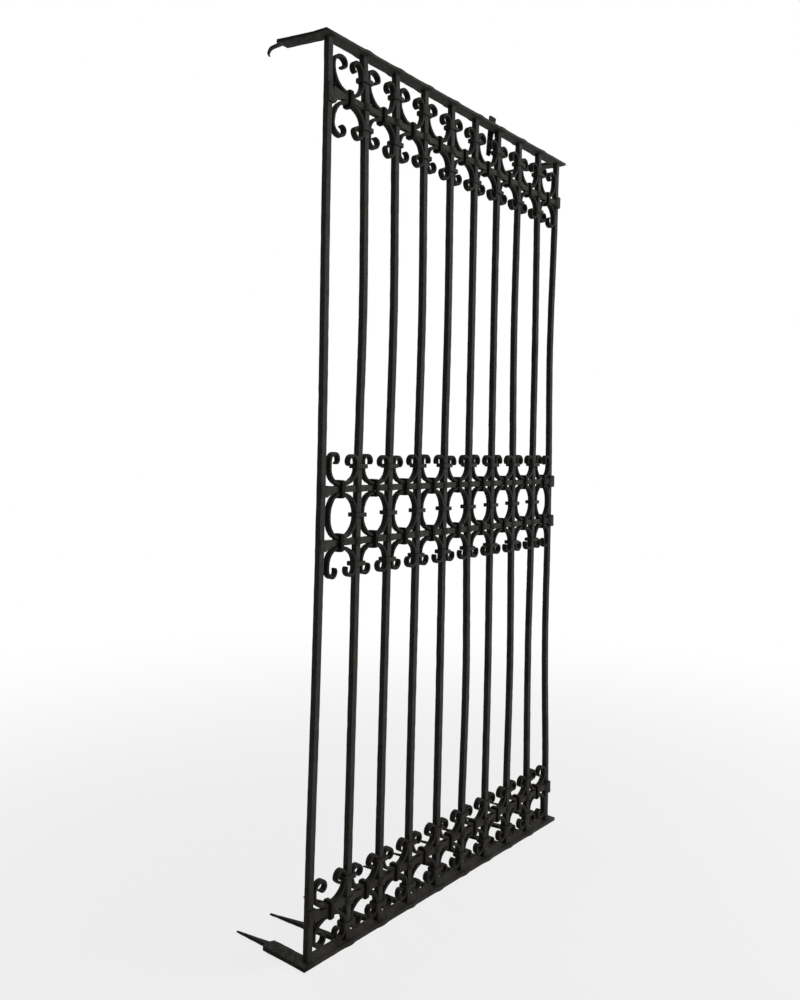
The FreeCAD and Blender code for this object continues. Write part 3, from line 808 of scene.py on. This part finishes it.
def bend_steps(across, climb):
    """Foot along the cross bar, then a bend of two eighth turns that reaches the bar at climb."""
    run = across - FOOT_LENGTH
    sine = math.sqrt(0.5)
    spread = 2 * sine - 1
    first = (run * sine - climb * (1 - sine)) / spread
    second = (climb * sine - run * (1 - sine)) / spread
    return [("line", FOOT_LENGTH, 0), ("arc", first, EIGHTH_TURN), ("arc", second, EIGHTH_TURN)]


def scroll_line(width, height, shoulder, curl, climb, eyelet_turn):
    """Centre line of a scroll in its box: foot, bend, rise along the bar, shoulder and curl."""
    rise = height - STRIP_THICKNESS - shoulder
    turn = eyelet_turn + rng.uniform(-EYELET_TURN_SPREAD, EYELET_TURN_SPREAD)
    steps = bend_steps(width - STRIP_THICKNESS / 2, min(climb, rise))
    if rise > climb:
        steps.append(("line", rise - climb, 0))
    steps += [("arc", shoulder, QUARTER_TURN), ("arc", curl, QUARTER_TURN), ("arc", EYELET, turn)]
    return chain((0, STRIP_THICKNESS / 2), steps, STRIP_STEP)


def oval_line(width, height):
    """Centre line of half an oval in its box, foot to foot."""
    climb = height / 2 - STRIP_THICKNESS / 2 - OVAL_SEAT
    steps = bend_steps(width - STRIP_THICKNESS / 2, climb)
    steps.append(("line", OVAL_SEAT, 0))
    return chain((0, STRIP_THICKNESS / 2), steps + steps[::-1], STRIP_STEP)


def strip(forging, line, box, bay, hand, upward, tip_share):
    """Bends a strip along a line in its box, thinned towards its end, and sways it with its bar."""
    low, high = box
    bar_number = bay if hand == "left" else bay + 1
    standoff = FIRST_STANDOFF if bar_number == 0 else 0.0
    foot_x, x_sign = (low.x, 1) if hand == "right" else (high.x, -1)
    foot_z, z_sign = (low.z, 1) if upward else (high.z, -1)
    depth = (low.y + high.y) / 2
    half_width = (high.y - low.y) / 2
    stations = []
    for share, point in shares(line):
        thinned = max(0.0, (share - THIN_START) / (1 - THIN_START)) ** THIN_POWER
        half_thick = STRIP_THICKNESS / 2 * between(1, tip_share, thinned)
        place = Vector((foot_x + x_sign * point.x, depth, foot_z + z_sign * point.y))
        place.x += (bar_aside(bar_number, place.z) + standoff) * point.x / (high.x - low.x)
        stations.append(Station(place, Y_AXIS, half_width, half_thick))
    forging.bar(stations)


def bay_shape(row, hand, bay):
    """Shoulder, curl and climb of a scroll: wider on the left of the first bay and at its top right."""
    curl, climb = ROWS[row].curl, ROWS[row].climb
    if bay > 0 or (hand == "right" and row != "top_upper"):
        return curl, curl, climb
    shoulder = curl * (TOP_SHOULDER if row.startswith("top") else OPEN_SHOULDER)
    return shoulder, curl * OPEN_CURL, FIRST_DROP_CLIMB if row == "top_lower" else climb


def make_scrolls(row, hand):
    """Scrolls of one hand in a row, one in each bay."""
    node = f"{row}_scrolls_{hand}"
    extras = EXTRA_REACH.get((row, hand), ())
    forging = Forging()
    for bay, box in enumerate(solid_boxes(node)):
        size = box[1] - box[0]
        reach = size.z + (extras[bay] * MM if bay < len(extras) else 0.0)
        line = scroll_line(size.x, reach, *bay_shape(row, hand, bay), ROWS[row].eyelet_turn)
        strip(forging, line, box, bay, hand, row.endswith("upper"), SCROLL_TIP)
    forging.finish(node)


def make_ovals(hand):
    """Halves of the ovals on one hand, one in each bay."""
    node = f"oval_arcs_{hand}"
    forging = Forging()
    for bay, box in enumerate(solid_boxes(node)):
        size = box[1] - box[0]
        strip(forging, oval_line(size.x, size.z), box, bay, hand, True, OVAL_TIP)
    forging.finish(node)


# Collars and clips

def loop(half_a, half_b):
    """Points round a rectangle with rounded corners, about its middle."""
    points = []
    for quarter in range(4):
        sign_a, sign_b = quarter_signs(quarter)
        for step in BEND_ANGLES:
            angle = math.radians(QUARTER_TURN * quarter + step)
            points.append((sign_a * (half_a - BEND_RADIUS) + BEND_RADIUS * math.cos(angle),
                           sign_b * (half_b - BEND_RADIUS) + BEND_RADIUS * math.sin(angle)))
    return points


def make_rings(node, axis, thickness, swell):
    """Bands of a row, each bent round its box and swollen; axis is the one that stays open."""
    across_a, across_b, along = {"x": (Y_AXIS, Z_AXIS, X_AXIS), "z": (X_AXIS, Y_AXIS, Z_AXIS)}[axis]
    forging = Forging()
    for number, (low, high) in enumerate(solid_boxes(node)):
        middle = (low + high) / 2
        if axis == "z":
            middle.x += bar_aside(INNER_BARS[number], middle.z)
        half = (high - low) / 2 + Vector((swell, swell, swell))
        half_a = half.dot(across_a) - thickness / 2
        half_b = half.dot(across_b) - thickness / 2
        stations = [Station(middle + across_a * a + across_b * b, along, half.dot(along), thickness / 2)
                    for a, b in loop(half_a, half_b)]
        forging.bar(stations, closed=True)
    forging.finish(node)


# Upright tie behind the top rail

def make_tie(node):
    """Short flat that leans to the right and widens towards its head."""
    low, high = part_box(node)
    start = Vector((low.x + TIE_FOOT_HALF + TIE_SHIFT, (low.y + high.y) / 2, low.z))
    end = start + Vector((TIE_LEAN, 0, high.z - low.z))
    half_thick = (high.y - low.y) / 2
    forge(node, [Station(point, X_AXIS, between(TIE_FOOT_HALF, TIE_HEAD_HALF, share), half_thick)
                 for share, point in shares(spaced(start, end, RAIL_STEP))])


# Floor, world, lamps and camera

def floor_material():
    """Pale floor that keeps the shadow and fades to white away from the grille."""
    material = bpy.data.materials.new("floor")
    material.use_nodes = True
    tree = material.node_tree
    nodes = Nodes(tree)
    shader = tree.nodes["Principled BSDF"]
    shader.inputs["Base Color"].default_value = FLOOR_COLOUR
    shader.inputs["Roughness"].default_value = FLOOR_ROUGHNESS
    distance = nodes.add("ShaderNodeVectorMath", operation="LENGTH")
    nodes.link(nodes.place, distance.inputs[0])
    fade = nodes.span(distance.outputs["Value"], FADE_START, FADE_END, FLOOR_LIFT)
    white = nodes.add("ShaderNodeEmission")
    blend = nodes.add("ShaderNodeMixShader")
    nodes.link(nodes.product(fade, nodes.shown_rays()), blend.inputs["Fac"])
    nodes.link(shader.outputs[0], blend.inputs[1])
    nodes.link(white.outputs[0], blend.inputs[2])
    nodes.link(blend.outputs[0], tree.nodes["Material Output"].inputs["Surface"])
    return material


def make_floor():
    corners = [(x * FLOOR_HALF, y * FLOOR_HALF, 0) for x, y in ((-1, -1), (1, -1), (1, 1), (-1, 1))]
    mesh = bpy.data.meshes.new("floor")
    mesh.from_pydata(corners, [], [(0, 1, 2, 3)])
    mesh.materials.append(floor_material())
    floor = bpy.data.objects.new("floor", mesh)
    bpy.context.scene.collection.objects.link(floor)


def make_world():
    """White behind the grille and in its reflections, and a low even light elsewhere."""
    world = bpy.data.worlds.new("studio")
    bpy.context.scene.world = world
    world.use_nodes = True
    nodes = Nodes(world.node_tree)
    background = world.node_tree.nodes["Background"]
    background.inputs["Color"].default_value = WHITE
    strength = nodes.span(nodes.shown_rays(), 0.0, 1.0, AMBIENT)
    nodes.link(strength, background.inputs["Strength"])


def make_lamp(name, place, target, side, power):
    """Square soft box at a place, turned to a target."""
    light = bpy.data.lights.new(name, "AREA")
    light.size = side
    light.energy = power
    lamp = bpy.data.objects.new(name, light)
    lamp.location = place
    lamp.rotation_euler = (Vector(target) - Vector(place)).to_track_quat("-Z", "Y").to_euler()
    bpy.context.scene.collection.objects.link(lamp)


def make_camera():
    """Camera at the photograph's place, found from the bars, rails and bands in it."""
    data = bpy.data.cameras.new("photo_camera")
    data.sensor_width = SENSOR
    data.lens = SENSOR * FOCAL_PIXELS / FRAME_HEIGHT
    data.shift_y = (AXIS_ROW - FRAME_HEIGHT / 2) / FRAME_HEIGHT
    camera = bpy.data.objects.new("photo_camera", data)
    yaw, pitch, roll = (math.radians(angle) for angle in CAMERA_TURN)
    forward = Vector((math.sin(yaw) * math.cos(pitch), math.cos(yaw) * math.cos(pitch), math.sin(pitch)))
    level = Vector((math.cos(yaw), -math.sin(yaw), 0))
    upward = level.cross(forward)
    right = level * math.cos(roll) + upward * math.sin(roll)
    up = upward * math.cos(roll) - level * math.sin(roll)
    turn = Matrix((right, up, -forward)).transposed()
    camera.matrix_world = Matrix.Translation(CAMERA_PLACE) @ turn.to_4x4()
    bpy.context.scene.collection.objects.link(camera)
    bpy.context.scene.camera = camera


# The whole grille

for bar_number in range(len(BAR_NODES)):
    make_bar(bar_number)
make_rail("bottom_rail", BOTTOM_RAIL_THICKNESS / 2, BOTTOM_RAIL_THICKNESS, BOTTOM_LEAN, tail_stations)
make_rail("top_rail", TOP - TOP_RAIL_THICKNESS / 2, TOP_RAIL_THICKNESS, TOP_LEAN, hook_stations)
for anchor_node, anchor_bar in zip(ANCHOR_NODES, BAR_PLACES[1:-1]):
    make_strap(anchor_node, anchor_bar)
for cross_band in BANDS:
    make_cross_bar(cross_band)
for strip_hand in HANDS:
    for scroll_row in ROWS:
        make_scrolls(scroll_row, strip_hand)
    make_ovals(strip_hand)
for collar_band in BANDS:
    make_rings(f"{collar_band}_collars", "x", COLLAR_THICKNESS, COLLAR_SWELL)
for clip_row in (*ROWS, "oval"):
    make_rings(f"{clip_row}_clips", "z", CLIP_THICKNESS, CLIP_SWELL)
make_tie("upright_tie")

# Its stage

make_floor()
make_world()
for lamp_name, lamp_setting in LAMPS.items():
    make_lamp(lamp_name, *lamp_setting)
make_camera()
bpy.context.scene.view_settings.view_transform = "Standard"
